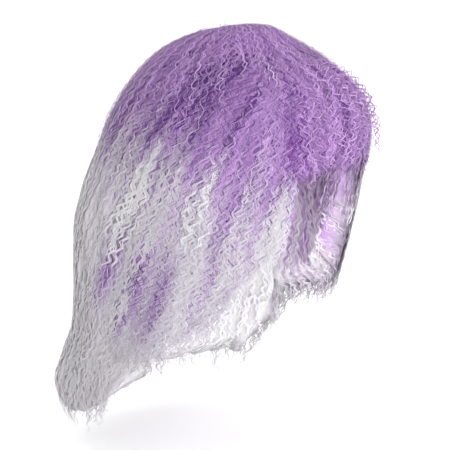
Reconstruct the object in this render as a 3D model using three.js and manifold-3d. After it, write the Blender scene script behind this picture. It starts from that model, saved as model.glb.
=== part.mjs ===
// Shoulder-length crimped wig with a full fringe: a cloth cap and four masses of hair.
// Millimetres, +Z up. The origin is the inner crown of the cap, and the face looks toward -Y.
import * as THREE from 'three';
import { mergeVertices } from 'three/addons/utils/BufferGeometryUtils.js';
import Module from 'manifold-3d';

const wasm = await Module();
wasm.setup();

// Cap: the inside follows the head
const CAP_WALL = 1.5;
const HEAD_HALF_WIDTH = 75;
const HEAD_HALF_LENGTH = 95;
const CROWN_HEIGHT = 98;
const LOWER_TAPER = 170;
const CAP_COLUMNS = 28;
const CAP_RINGS = 7;

// Cap edge: direction from the face in degrees, and height
const CAP_RIM = [
  { at: 0, z: -48 },
  { at: 45, z: -60 },
  { at: 75, z: -92 },
  { at: 100, z: -122 },
  { at: 135, z: -140 },
  { at: 180, z: -156 },
];

// Clearances
const SEAT_GAP = 0.35;
const PIECE_GAP = 0.35;
const RIM_MARGIN = 0.015;
const HAIR_ROOT = 0.5;

// Whorl that the hair falls from, and the heart of the dome that directions are taken from
const WHORL_Y = -20;
const HEART_Z = -60;
const WHORL_TURN = 10;
const MM_PER_DEGREE = 2;
const DOME_ARC = 90 * MM_PER_DEGREE;

// Outside of the hair: half width, reach toward the face, reach toward the back,
// and how square the section is at each level
const OUTSIDE = [
  { z: 25, half: 1, front: -6, back: 8, square: 2.1 },
  { z: 22, half: 24, front: 17, back: 33, square: 2.1 },
  { z: 16, half: 43, front: 24, back: 60, square: 2.1 },
  { z: 6, half: 64, front: 37, back: 86, square: 2.2 },
  { z: -8, half: 82, front: 63, back: 108, square: 2.2 },
  { z: -25, half: 99, front: 89, back: 126, square: 2.2 },
  { z: -50, half: 116, front: 111, back: 143, square: 2.3 },
  { z: -80, half: 128, front: 118, back: 161, square: 2.3 },
  { z: -115, half: 136, front: 112, back: 174, square: 2.3 },
  { z: -150, half: 140, front: 102, back: 191, square: 2.3 },
  { z: -190, half: 141, front: 92, back: 205, square: 2.3 },
  { z: -230, half: 140, front: 80, back: 207, square: 2.3 },
  { z: -270, half: 138, front: 67, back: 203, square: 2.4 },
  { z: -310, half: 137, front: 62, back: 201, square: 2.6 },
  { z: -345, half: 136, front: 62, back: 214, square: 2.9 },
  { z: -375, half: 135, front: 62, back: 226, square: 3.1 },
  { z: -405, half: 130, front: 62, back: 220, square: 3.1 },
  { z: -440, half: 120, front: 62, back: 200, square: 3.1 },
];

// Space kept free below the cap for cheeks, neck and shoulders
const INSIDE = [
  { z: -156, half: 73, front: 93, back: 91 },
  { z: -200, half: 76, front: 88, back: 96 },
  { z: -250, half: 84, front: 80, back: 110 },
  { z: -300, half: 94, front: 70, back: 132 },
  { z: -345, half: 96, front: 60, back: 144 },
  { z: -440, half: 92, front: 60, back: 150 },
];

// Hair masses: borders and lock ends by direction from the face, in degrees toward the left ear
const COVER = 6.3;
const LEAST_BACKING = 3.5;
const LOCK_FLATNESS = 0.36;
const LOCK_LEAST_HALF = 3.5;
const LOCK_MOST_HALF = 9.5;
const LOCK_SIDES = 5;
const LOCK_STEPS = 10;
const UNDER_STEPS = 3;
const UNDER_LENGTH = 85;
const TIP_REACH = 19;
const CRIMP_LENGTH = 62;
const CRIMP_SWING = 2.6;
const END_STAGGER = 5;
const MERGE_WITHIN = 1.1;
const TIDY_WITHIN = 0.06;
const MASSES = [
  {
    name: 'fringe', from: -42, to: 50, locks: 8, under: 0, rise: 4, columns: 8, rows: 6, colour: 0xa67ebc,
    ends: [{ at: -42, z: -122 }, { at: -20, z: -112 }, { at: 0, z: -108 }, { at: 50, z: -112 }],
  },
  {
    name: 'left_side_hair', from: 50, to: 125, locks: 7, under: 4, rise: 34, columns: 7, rows: 9,
    colour: 0xcab8cf,
    ends: [{ at: 50, z: -180 }, { at: 62, z: -216 }, { at: 76, z: -260 }, { at: 92, z: -286 },
      { at: 125, z: -318 }],
  },
  {
    name: 'back_hair', from: 125, to: 235, locks: 10, under: 5, rise: 46, columns: 10, rows: 10,
    colour: 0xb7b5ba,
    ends: [{ at: 125, z: -338 }, { at: 138, z: -398 }, { at: 160, z: -416 }, { at: 180, z: -418 },
      { at: 215, z: -416 }, { at: 225, z: -402 }, { at: 235, z: -356 }],
  },
  {
    name: 'right_side_hair', from: 235, to: 318, locks: 8, under: 4, rise: 34, columns: 8, rows: 9,
    colour: 0xc1b1cb,
    ends: [{ at: 235, z: -328 }, { at: 255, z: -308 }, { at: 270, z: -290 }, { at: 285, z: -252 },
      { at: 300, z: -216 }, { at: 318, z: -198 }],
  },
];
const CAP_COLOUR = 0x6f5a80;

const radians = (degrees) => (degrees * Math.PI) / 180;

// Straight-line reading of a table between its rows, held at both ends
function read(rows, key, value, column) {
  const falling = rows[0][key] > rows[rows.length - 1][key];
  const at = (row) => (falling ? -row[key] : row[key]);
  const x = falling ? -value : value;
  if (x <= at(rows[0])) return rows[0][column];
  for (let i = 1; i < rows.length; i += 1) {
    if (x <= at(rows[i])) {
      const share = (x - at(rows[i - 1])) / (at(rows[i]) - at(rows[i - 1]));
      return rows[i - 1][column] + share * (rows[i][column] - rows[i - 1][column]);
    }
  }
  return rows[rows.length - 1][column];
}

// Tests for a point inside the outer form and inside the space left for the head
function withinHair(x, y, z) {
  if (z > OUTSIDE[0].z) return false;
  const columns = ['half', 'front', 'back', 'square'];
  const [half, front, back, square] = columns.map((column) => read(OUTSIDE, 'z', z, column));
  const centre = (back - front) / 2;
  const long = (back + front) / 2;
  return Math.abs(x / half) ** square + Math.abs((y - centre) / long) ** square < 1;
}

function withinHead(x, y, z) {
  const lowest = INSIDE[0].z;
  const height = z > -CROWN_HEIGHT ? CROWN_HEIGHT + HAIR_ROOT : LOWER_TAPER;
  if (z > lowest) {
    const across = x / (HEAD_HALF_WIDTH + HAIR_ROOT);
    const along = y / (HEAD_HALF_LENGTH + HAIR_ROOT);
    return across ** 2 + along ** 2 + ((z + CROWN_HEIGHT) / height) ** 2 < 1;
  }
  const [half, front, back] = ['half', 'front', 'back'].map((column) => read(INSIDE, 'z', z, column));
  const centre = (back - front) / 2;
  return (x / half) ** 2 + ((y - centre) / ((back + front) / 2)) ** 2 < 1;
}

// A place on a fall line: over the dome the ray turns about the heart, below it drops level by level
function rayPoint(turn, fall, radius) {
  const tilt = Math.min(fall / MM_PER_DEGREE, 90);
  const drop = Math.max(fall - DOME_ARC, 0);
  const out = radius * Math.sin(radians(tilt));
  return new THREE.Vector3(
    out * Math.sin(radians(turn)),
    WHORL_Y - out * Math.cos(radians(turn)),
    HEART_Z - drop + radius * Math.cos(radians(tilt)),
  );
}

// Distance along that ray to the edge of a form
function reach(turn, fall, within) {
  let near = 2;
  let far = 400;
  for (let i = 0; i < 40; i += 1) {
    const middle = (near + far) / 2;
    const p = rayPoint(turn, fall, middle);
    if (within(p.x, p.y, p.z)) near = middle;
    else far = middle;
  }
  return near;
}

const fallAt = (z) => DOME_ARC + HEART_Z - z;
const stagger = (i) => Math.sin(i * 2.4 + 0.7) * END_STAGGER;

// Closed bodies from grids of points
function solidFrom(points, triangles) {
  const vertProperties = new Float32Array(points.flatMap((p) => [p.x, p.y, p.z]));
  const triVerts = new Uint32Array(triangles.flat());
  return new wasm.Manifold(new wasm.Mesh({ numProp: 3, vertProperties, triVerts }));
}

function geometryFrom(points, triangles) {
  const geometry = new THREE.BufferGeometry();
  const numbers = points.flatMap((p) => [p.x, p.y, p.z]);
  geometry.setAttribute('position', new THREE.Float32BufferAttribute(numbers, 3));
  geometry.setIndex(triangles.flat());
  geometry.computeVertexNormals();
  return geometry;
}

function solidOf(geometry) {
  geometry.deleteAttribute('normal');
  geometry.deleteAttribute('uv');
  const merged = mergeVertices(geometry, 1e-4);
  const vertProperties = new Float32Array(merged.attributes.position.array);
  const triVerts = new Uint32Array(merged.index.array);
  return new wasm.Manifold(new wasm.Mesh({ numProp: 3, vertProperties, triVerts }));
}

function geometryOf(solid) {
  const { vertProperties, triVerts } = solid.getMesh();
  const geometry = new THREE.BufferGeometry();
  geometry.setAttribute('position', new THREE.BufferAttribute(new Float32Array(vertProperties), 3));
  geometry.setIndex(new THREE.BufferAttribute(new Uint32Array(triVerts), 1));
  geometry.computeVertexNormals();
  return geometry;
}

// The main body of a solid, without sealed pockets between locks
function largest(solid) {
  return solid.decompose().reduce((best, next) => (next.volume() > best.volume() ? next : best));
}

// Slab between an outer and an inner sheet of equal grids, closed round its four edges
function slab(outer, inner) {
  const rows = outer.length;
  const columns = outer[0].length;
  const points = [...outer.flat(), ...inner.flat()];
  const at = (layer, i, j) => layer * rows * columns + i * columns + j;
  const triangles = [];
  const quad = (a, b, c, d) => triangles.push([a, b, c], [a, c, d]);
  for (let i = 0; i + 1 < rows; i += 1) {
    for (let j = 0; j + 1 < columns; j += 1) {
      quad(at(0, i, j), at(0, i + 1, j), at(0, i + 1, j + 1), at(0, i, j + 1));
      quad(at(1, i, j), at(1, i, j + 1), at(1, i + 1, j + 1), at(1, i + 1, j));
    }
    quad(at(0, i, 0), at(1, i, 0), at(1, i + 1, 0), at(0, i + 1, 0));
    quad(at(0, i, columns - 1), at(0, i + 1, columns - 1), at(1, i + 1, columns - 1), at(1, i, columns - 1));
  }
  for (let j = 0; j + 1 < columns; j += 1) {
    quad(at(0, 0, j), at(0, 0, j + 1), at(1, 0, j + 1), at(1, 0, j));
    quad(at(0, rows - 1, j), at(1, rows - 1, j), at(1, rows - 1, j + 1), at(0, rows - 1, j + 1));
  }
  return solidFrom(points, triangles);
}

// Thick mass under the locks, ending a little higher inside than outside
function backing(mass, firstFall) {
  const outer = [];
  const inner = [];
  for (let i = 0; i <= mass.rows; i += 1) {
    const share = i / mass.rows;
    const outerRow = [];
    const innerRow = [];
    for (let j = 0; j <= mass.columns; j += 1) {
      const turn = mass.from - 1.5 + ((mass.to - mass.from + 3) * j) / mass.columns;
      const last = fallAt(read(mass.ends, 'at', turn, 'z')) - TIP_REACH;
      const fall = firstFall + (last - firstFall) * share;
      const innerFall = firstFall + (last - mass.rise - firstFall) * share;
      const floor = reach(turn, fall, withinHead) + LEAST_BACKING;
      outerRow.push(rayPoint(turn, fall, Math.max(floor, reach(turn, fall, withinHair) - COVER)));
      innerRow.push(rayPoint(turn, innerFall, reach(turn, innerFall, withinHead)));
    }
    outer.push(outerRow);
    inner.push(innerRow);
  }
  return slab(outer, inner);
}

// One lock: a flattened five-sided section swept along a fall line, waved sideways and narrowed to its tip
function lock({ turn, halfAngle, from, to, depth, steps, phase }) {
  const points = [];
  const triangles = [];
  const place = (angle, fall, half) => {
    const skin = reach(angle, fall, withinHair);
    const least = reach(angle, fall, withinHead) + half * 0.75;
    return rayPoint(angle, fall, Math.max(least, skin - half - depth * (skin - least)));
  };
  for (let i = 0; i <= steps; i += 1) {
    const share = i / steps;
    const fall = from + (to - from) * share;
    const skin = place(turn, fall, 0);
    const spread = Math.hypot(skin.x, skin.y - WHORL_Y) * radians(halfAngle);
    const half = THREE.MathUtils.clamp(LOCK_FLATNESS * spread + 1.5, LOCK_LEAST_HALF, LOCK_MOST_HALF);
    const centre = place(turn, fall, half);
    const along = place(turn, fall + 3, half).sub(place(turn, fall - 3, half)).normalize();
    const side = place(turn + 1.5, fall, half).sub(place(turn - 1.5, fall, half)).normalize();
    const outward = new THREE.Vector3().crossVectors(along, side).normalize();
    const grown = THREE.MathUtils.smoothstep(share, -0.2, 0.3);
    const tip = 1 - 0.82 * THREE.MathUtils.smoothstep(share, 0.72, 1.06);
    const swing = CRIMP_SWING * grown * Math.sin((fall / CRIMP_LENGTH) * 2 * Math.PI + phase);
    centre.addScaledVector(side, swing);
    for (let k = 0; k < LOCK_SIDES; k += 1) {
      const round = ((k + 0.5) / LOCK_SIDES) * 2 * Math.PI;
      const p = centre.clone();
      p.addScaledVector(side, Math.sin(round) * spread * tip);
      p.addScaledVector(outward, -Math.cos(round) * half * grown * tip);
      points.push(p);
    }
  }
  const at = (i, k) => i * LOCK_SIDES + (k % LOCK_SIDES);
  for (let i = 0; i < steps; i += 1) {
    for (let k = 0; k < LOCK_SIDES; k += 1) {
      triangles.push([at(i, k), at(i + 1, k + 1), at(i + 1, k)], [at(i, k), at(i, k + 1), at(i + 1, k + 1)]);
    }
  }
  for (let k = 1; k + 1 < LOCK_SIDES; k += 1) {
    triangles.push([at(0, 0), at(0, k + 1), at(0, k)]);
    triangles.push([at(steps, 0), at(steps, k), at(steps, k + 1)]);
  }
  return solidFrom(points, triangles);
}

// A place on the head or at a distance outside it, and how far down the cap reaches there
function headPoint(turn, tilt, wall) {
  const height = tilt <= 90 ? CROWN_HEIGHT + wall : LOWER_TAPER;
  const round = Math.sin(radians(tilt));
  return new THREE.Vector3(
    (HEAD_HALF_WIDTH + wall) * round * Math.sin(radians(turn)),
    -(HEAD_HALF_LENGTH + wall) * round * Math.cos(radians(turn)),
    -CROWN_HEIGHT + height * Math.cos(radians(tilt)),
  );
}

function rimTilt(turn) {
  const above = read(CAP_RIM, 'at', Math.min(turn, 360 - turn), 'z') + CROWN_HEIGHT;
  return (Math.acos(above / (above > 0 ? CROWN_HEIGHT : LOWER_TAPER)) * 180) / Math.PI;
}

// Closed body of rings round the head, each at a share of the way to the cap edge, between two poles
function turnedBody(rings, first, last) {
  const points = [first];
  const triangles = [];
  for (const [share, wall] of rings) {
    for (let j = 0; j < CAP_COLUMNS; j += 1) {
      const turn = (j * 360) / CAP_COLUMNS;
      points.push(headPoint(turn, rimTilt(turn) * share, wall));
    }
  }
  points.push(last);
  const at = (i, j) => 1 + i * CAP_COLUMNS + (j % CAP_COLUMNS);
  const end = points.length - 1;
  for (let j = 0; j < CAP_COLUMNS; j += 1) {
    triangles.push([0, at(0, j), at(0, j + 1)]);
    triangles.push([end, at(rings.length - 1, j + 1), at(rings.length - 1, j)]);
    for (let i = 0; i + 1 < rings.length; i += 1) {
      triangles.push([at(i, j), at(i + 1, j), at(i + 1, j + 1)], [at(i, j), at(i + 1, j + 1), at(i, j + 1)]);
    }
  }
  return { points, triangles };
}

// Room that the hair leaves for the cap, with the cap's own facets
function seat() {
  const rings = [];
  for (let i = 1; i <= CAP_RINGS; i += 1) rings.push([i / CAP_RINGS, CAP_WALL + SEAT_GAP]);
  rings.push([1 + RIM_MARGIN, CAP_WALL + SEAT_GAP]);
  const { points, triangles } = turnedBody(
    rings,
    headPoint(0, 0, CAP_WALL + SEAT_GAP),
    new THREE.Vector3(0, 0, -CROWN_HEIGHT),
  );
  return solidFrom(points, triangles);
}

// Upright wedge about the whorl that keeps a mass clear of its neighbours
function wedge(from, to) {
  const far = 700;
  const middle = radians((from + to) / 2);
  const setBack = PIECE_GAP / 2 / Math.sin(radians((to - from) / 2));
  const tipX = setBack * Math.sin(middle);
  const tipY = WHORL_Y - setBack * Math.cos(middle);
  const outline = new THREE.Shape();
  outline.moveTo(tipX, tipY);
  outline.lineTo(tipX + far * Math.sin(radians(from)), tipY - far * Math.cos(radians(from)));
  outline.lineTo(tipX + far * Math.sin(middle), tipY - far * Math.cos(middle));
  outline.lineTo(tipX + far * Math.sin(radians(to)), tipY - far * Math.cos(radians(to)));
  outline.closePath();
  const geometry = new THREE.ExtrudeGeometry(outline, { depth: 600, bevelEnabled: false });
  geometry.translate(0, 0, -520);
  return solidOf(geometry);
}

// Small round crown that closes the whorl, part of the back
function whorl() {
  const columns = 18;
  const fall = WHORL_TURN * MM_PER_DEGREE;
  const points = [];
  const triangles = [];
  const ring = (share, within, rise) => {
    for (let j = 0; j < columns; j += 1) {
      const turn = (j * 360) / columns;
      points.push(rayPoint(turn, fall * share, reach(turn, fall * share, within) + rise));
    }
  };
  points.push(rayPoint(0, 0, reach(0, 0, withinHair) - 1));
  ring(0.55, withinHair, -1);
  ring(1, withinHair, -2);
  ring(1, withinHead, 0);
  ring(0.55, withinHead, 0);
  points.push(rayPoint(0, 0, reach(0, 0, withinHead)));
  const at = (i, j) => 1 + i * columns + (j % columns);
  const last = points.length - 1;
  for (let j = 0; j < columns; j += 1) {
    triangles.push([0, at(0, j), at(0, j + 1)]);
    triangles.push([last, at(3, j + 1), at(3, j)]);
    for (let i = 0; i < 3; i += 1) {
      triangles.push([at(i, j), at(i + 1, j), at(i + 1, j + 1)], [at(i, j), at(i + 1, j + 1), at(i, j + 1)]);
    }
  }
  return solidFrom(points, triangles);
}

// A whole mass: backing, outer locks side by side, and shorter locks under the lower edge
function hairMass(mass) {
  const firstFall = (WHORL_TURN + 0.5) * MM_PER_DEGREE;
  const pitch = (mass.to - mass.from) / mass.locks;
  let body = backing(mass, firstFall);
  for (let i = 0; i < mass.locks; i += 1) {
    const turn = mass.from + pitch * (i + 0.5 + 0.12 * Math.sin(i * 2.1));
    const to = fallAt(read(mass.ends, 'at', turn, 'z')) + stagger(i);
    const phase = i * 1.9;
    body = body.add(lock({
      turn, halfAngle: pitch * 0.6, from: firstFall + 1, to, depth: 0, steps: LOCK_STEPS, phase,
    }));
  }
  for (let i = 0; i < mass.under; i += 1) {
    const turn = mass.from + ((mass.to - mass.from) * (i + 0.6)) / (mass.under + 0.2);
    const depth = i % 2 ? 0.38 : 0.68;
    const to = fallAt(read(mass.ends, 'at', turn, 'z')) - mass.rise * depth + stagger(i + 5);
    body = body.add(lock({
      turn, halfAngle: pitch * 0.62, from: to - UNDER_LENGTH, to, depth, steps: UNDER_STEPS, phase: i * 1.3,
    }));
  }
  body = body.simplify(MERGE_WITHIN).intersect(wedge(mass.from, mass.to));
  if (mass.name === 'back_hair') body = body.add(whorl());
  return geometryOf(largest(body.subtract(seat()).simplify(TIDY_WITHIN)));
}

// Cap: a thin shell over the head, open below, with its edge high at the brow and low at the nape
function capShell() {
  const rings = [];
  for (let i = 1; i <= CAP_RINGS; i += 1) rings.push([i / CAP_RINGS, CAP_WALL]);
  for (let i = CAP_RINGS; i >= 1; i -= 1) rings.push([i / CAP_RINGS, 0]);
  const { points, triangles } = turnedBody(rings, headPoint(0, 0, CAP_WALL), headPoint(0, 0, 0));
  return geometryFrom(points, triangles);
}

// The wig: cap and hair in one group
const wig = new THREE.Group();
function piece(name, geometry, color, roughness) {
  const mesh = new THREE.Mesh(geometry, new THREE.MeshStandardMaterial({ color, roughness, metalness: 0 }));
  mesh.name = name;
  wig.add(mesh);
}
piece('cap', capShell(), CAP_COLOUR, 0.9);
for (const mass of MASSES) piece(mass.name, hairMass(mass), mass.colour, 0.7);

export default wig;
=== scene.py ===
import bpy
import numpy as np
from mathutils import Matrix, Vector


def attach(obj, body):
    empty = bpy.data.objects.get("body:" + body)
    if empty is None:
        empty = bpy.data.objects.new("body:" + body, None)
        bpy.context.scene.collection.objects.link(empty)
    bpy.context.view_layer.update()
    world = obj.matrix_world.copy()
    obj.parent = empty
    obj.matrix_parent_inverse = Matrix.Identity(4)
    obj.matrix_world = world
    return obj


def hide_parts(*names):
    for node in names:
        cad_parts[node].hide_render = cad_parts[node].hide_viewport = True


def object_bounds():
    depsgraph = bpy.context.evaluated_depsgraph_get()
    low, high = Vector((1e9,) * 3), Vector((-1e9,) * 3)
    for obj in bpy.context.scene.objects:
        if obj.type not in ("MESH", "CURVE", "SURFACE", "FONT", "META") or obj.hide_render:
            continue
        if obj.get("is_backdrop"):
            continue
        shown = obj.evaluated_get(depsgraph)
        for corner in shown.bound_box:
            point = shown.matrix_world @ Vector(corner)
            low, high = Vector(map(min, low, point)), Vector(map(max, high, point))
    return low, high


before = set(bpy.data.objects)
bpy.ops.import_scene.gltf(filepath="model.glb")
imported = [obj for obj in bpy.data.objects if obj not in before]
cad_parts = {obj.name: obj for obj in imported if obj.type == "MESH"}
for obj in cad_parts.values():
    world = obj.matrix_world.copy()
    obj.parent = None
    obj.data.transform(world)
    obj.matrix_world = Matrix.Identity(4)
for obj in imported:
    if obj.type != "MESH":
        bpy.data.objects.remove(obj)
cad_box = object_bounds()

# Cap: the thin stretch cloth that the hair is sewn to, dyed near the colour of the roots.
# It is knitted in one piece, closed over the crown and hemmed round its open edge.
# Lengths are millimetres until a mesh is made, and a turn is in degrees from the front to the left.
HOLLOW_HALF_WIDTH = 75.0
HOLLOW_HALF_LENGTH = 95.0
CROWN_HEIGHT = 98.0
LOWER_TAPER = 170.0
CAP_WALL = 1.5
HEM_SWELL = 0.5
HEM_WIDTH = 5.0
RIM_LENGTH = 150.0
CAP_RIM = np.array([(0, -48), (45, -60), (75, -92), (100, -122), (135, -140), (180, -156)], float)
CAP_COLUMNS = 72
CAP_RINGS = 28


def solid_mesh(name, points, faces):
    mesh = bpy.data.meshes.new(name)
    mesh.from_pydata((np.asarray(points) / 1000).tolist(), [], faces)
    mesh.shade_smooth()
    mesh.update()
    piece = bpy.data.objects.new(name, mesh)
    bpy.context.scene.collection.objects.link(piece)
    return piece


def node(tree, kind, links=(), **values):
    made = tree.nodes.new(kind)
    for key, value in values.items():
        setattr(made, key, value)
    for socket, source in links:
        if isinstance(source, bpy.types.NodeSocket):
            tree.links.new(source, made.inputs[socket])
        else:
            made.inputs[socket].default_value = source
    return made


def new_material(name):
    made = bpy.data.materials.new(name)
    made.use_nodes = True
    return made, made.node_tree, made.node_tree.nodes["Principled BSDF"]


def cap_ring(share, wall):
    turn = np.linspace(0, 360, CAP_COLUMNS, endpoint=False)
    rim = np.interp(np.minimum(turn, 360 - turn), CAP_RIM[:, 0], CAP_RIM[:, 1]) + CROWN_HEIGHT
    full = np.degrees(np.arccos(rim / np.where(rim > 0, CROWN_HEIGHT, LOWER_TAPER)))
    tilt = np.radians(full * share)
    height = np.where(tilt <= np.pi / 2, CROWN_HEIGHT + wall, LOWER_TAPER)
    x = (HOLLOW_HALF_WIDTH + wall) * np.sin(tilt) * np.sin(np.radians(turn))
    y = -(HOLLOW_HALF_LENGTH + wall) * np.sin(tilt) * np.cos(np.radians(turn))
    return np.stack([x, y, height * np.cos(tilt) - CROWN_HEIGHT], 1)


def cap_piece():
    shares = np.linspace(0, 1, CAP_RINGS + 1)[1:]
    swell = HEM_SWELL * np.exp(-(((1 - shares) * RIM_LENGTH / HEM_WIDTH) ** 2))
    rings = [cap_ring(s, CAP_WALL) for s in shares]
    rings += [cap_ring(s, -e) for s, e in zip(shares[::-1], swell[::-1])]
    points = np.concatenate([[(0, 0, CAP_WALL)], *rings, [(0, 0, 0)]])
    at = lambda i, j: 1 + i * CAP_COLUMNS + j % CAP_COLUMNS
    last = len(rings) - 1
    faces = [(0, at(0, j), at(0, j + 1)) for j in range(CAP_COLUMNS)]
    faces += [(len(points) - 1, at(last, j + 1), at(last, j)) for j in range(CAP_COLUMNS)]
    for i in range(last):
        faces += [(at(i, j), at(i + 1, j), at(i + 1, j + 1), at(i, j + 1)) for j in range(CAP_COLUMNS)]
    return solid_mesh("cap_cloth", points, faces)


def knit_material():
    made, tree, shader = new_material("cap_knit")
    place = node(tree, "ShaderNodeTexCoord").outputs["Object"]
    ribs = node(tree, "ShaderNodeTexWave", [("Vector", place), ("Scale", 210.0), ("Distortion", 1.5)],
                bands_direction="Z")
    purl = node(tree, "ShaderNodeTexWave", [("Vector", place), ("Scale", 170.0), ("Distortion", 1.0)],
                bands_direction="X")
    loops = node(tree, "ShaderNodeMath", [(0, ribs.outputs["Fac"]), (1, purl.outputs["Fac"])],
                 operation="MULTIPLY")
    cloud = node(tree, "ShaderNodeTexNoise", [("Vector", place), ("Scale", 60.0), ("Detail", 4.0)])
    depth = node(tree, "ShaderNodeMath", [(0, loops.outputs[0]), (1, cloud.outputs["Fac"])], operation="ADD")
    ramp = node(tree, "ShaderNodeValToRGB", [("Fac", depth.outputs[0])])
    ramp.color_ramp.elements[0].position = 0.3
    ramp.color_ramp.elements[0].color = (0.12, 0.07, 0.17, 1)
    ramp.color_ramp.elements[1].position = 1.0
    ramp.color_ramp.elements[1].color = (0.3, 0.2, 0.38, 1)
    bump = node(tree, "ShaderNodeBump",
                [("Height", loops.outputs[0]), ("Strength", 0.5), ("Distance", 0.0006)])
    tree.links.new(ramp.outputs["Color"], shader.inputs["Base Color"])
    tree.links.new(bump.outputs["Normal"], shader.inputs["Normal"])
    shader.inputs["Roughness"].default_value = 0.9
    return made


cap = cap_piece()
cap.data.materials.append(knit_material())
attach(cap, "root")
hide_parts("cap")

# Fringe: crimped purple fibre that falls forward from the whorl and is cut level in front.
# It is a soft body of packed fibre with crimped locks over it and loose curls at its edge.
# The fibre is sewn to the front of the cap in rows, so its roots are hidden.
WHORL_Y = -20.0
HEART_Z = -60.0
MM_PER_DEGREE = 2.0
DOME_ARC = 90 * MM_PER_DEGREE
# level, half width, reach to the front, reach to the back, squareness of the section
OUTSIDE = np.array([
    (25, 1, -6, 8, 2.1), (22, 24, 17, 33, 2.1), (16, 43, 24, 60, 2.1), (6, 64, 37, 86, 2.2),
    (-8, 82, 63, 108, 2.2), (-25, 99, 89, 126, 2.2), (-50, 116, 111, 143, 2.3), (-80, 128, 118, 161, 2.3),
    (-115, 136, 112, 174, 2.3), (-150, 140, 102, 191, 2.3), (-190, 141, 92, 205, 2.3),
    (-230, 140, 80, 207, 2.3), (-270, 138, 67, 203, 2.4), (-310, 137, 62, 201, 2.6),
    (-345, 136, 62, 214, 2.9), (-375, 135, 62, 226, 3.1), (-405, 130, 62, 220, 3.1),
    (-440, 120, 62, 200, 3.1)], float)
# level, half width, reach to the front, reach to the back of the hollow below the cap
INSIDE = np.array([
    (-156, 73, 93, 91), (-200, 76, 88, 96), (-250, 84, 80, 110), (-300, 94, 70, 132), (-345, 96, 60, 144),
    (-440, 92, 60, 150)], float)
LEVELS = np.arange(25.0, -441.0, -1.0)
SOFTEN = np.hanning(25)[1:-1] / np.hanning(25)[1:-1].sum()
SOFTEN_BELOW = 8.0
LONGEST_RAY = 400.0
HALVINGS = 28
ROOT_RISE = 16.0
WAVE_GROUP = 8.0
COMB_LEVEL = 300.0
COMB_STEPS = 24
PATCH_EDGE = 60.0
CROWN_SHARE = 0.3
SHADE_SPREAD = 0.32
STREAK_FALL = 120
STRAND_STAIN = 0.3
PACKED_SHORT = 10.0
# The hidden inside of a body is lightened as painted bounce light: an even high shade, a gain and a limit.
INSIDE_PAINTED_LIGHT_SHADE = 0.9
INSIDE_STAIN = 0.3
INSIDE_PAINTED_LIGHT_GAIN = 1.55
INSIDE_BRIGHTEST = 0.78


# One column of the outside at every level, with its corners rounded below the crown
def softened(column):
    plain = np.interp(-LEVELS, -OUTSIDE[:, 0], OUTSIDE[:, column])
    smooth = np.convolve(np.pad(plain, len(SOFTEN) // 2, mode="edge"), SOFTEN, "valid")
    return np.where(LEVELS > SOFTEN_BELOW, plain, smooth)


SECTIONS = [softened(k) for k in range(1, 5)]


def within_hair(x, y, z):
    half, front, back, square = (np.interp(-z, -LEVELS, s) for s in SECTIONS)
    across = np.abs(x / half) ** square
    along = np.abs((y - (back - front) / 2) / ((back + front) / 2)) ** square
    return (across + along < 1) & (z < LEVELS[0])


def within_hollow(x, y, z):
    height = np.where(z > -CROWN_HEIGHT, CROWN_HEIGHT + CAP_WALL, LOWER_TAPER)
    across = x / (HOLLOW_HALF_WIDTH + CAP_WALL)
    along = y / (HOLLOW_HALF_LENGTH + CAP_WALL)
    skull = across**2 + along**2 + ((z + CROWN_HEIGHT) / height) ** 2 < 1
    half, front, back = (np.interp(-z, -INSIDE[:, 0], INSIDE[:, k]) for k in (1, 2, 3))
    throat = (x / half) ** 2 + ((y - (back - front) / 2) / ((back + front) / 2)) ** 2 < 1
    return np.where(z > INSIDE[0, 0], skull, throat)


# Point at a radius from the middle of the hair: over the dome first, then straight down its sides
def ray(turn, fall, radius):
    tilt = np.radians(np.minimum(fall / MM_PER_DEGREE, 90))
    drop = np.maximum(fall - DOME_ARC, 0)
    out = radius * np.sin(tilt)
    x = out * np.sin(np.radians(turn))
    y = WHORL_Y - out * np.cos(np.radians(turn))
    return np.stack([x, y, HEART_Z - drop + radius * np.cos(tilt)], -1)


# Radius at which a ray leaves a form
def reach(turn, fall, within):
    near = np.full(np.broadcast(turn, fall).shape, 2.0)
    far = np.full(near.shape, LONGEST_RAY)
    for _ in range(HALVINGS):
        middle = (near + far) / 2
        inside = within(*np.moveaxis(ray(turn, fall, middle), -1, 0))
        near = np.where(inside, middle, near)
        far = np.where(inside, far, middle)
    return near


def skin(turn, fall, depth):
    return ray(turn, fall, reach(turn, fall, within_hair) - depth)


def unit(v):
    return v / np.maximum(np.linalg.norm(v, axis=-1, keepdims=True), 1e-9)


def fall_at(level):
    return DOME_ARC + HEART_Z - level


def ease(low, high, value):
    share = np.clip((value - low) / (high - low), 0, 1)
    return share * share * (3 - 2 * share)


def straight(turn, fall):
    return np.zeros_like(turn)


# Turn at which the fibre through a place passes one level, which tells neighbouring fibres apart
def comb_turn(lean, turn, fall):
    drop = (COMB_LEVEL - fall) / COMB_STEPS
    for k in range(COMB_STEPS):
        turn = turn - lean(turn, fall + drop * (k + 0.5)) * drop
    return turn
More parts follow.
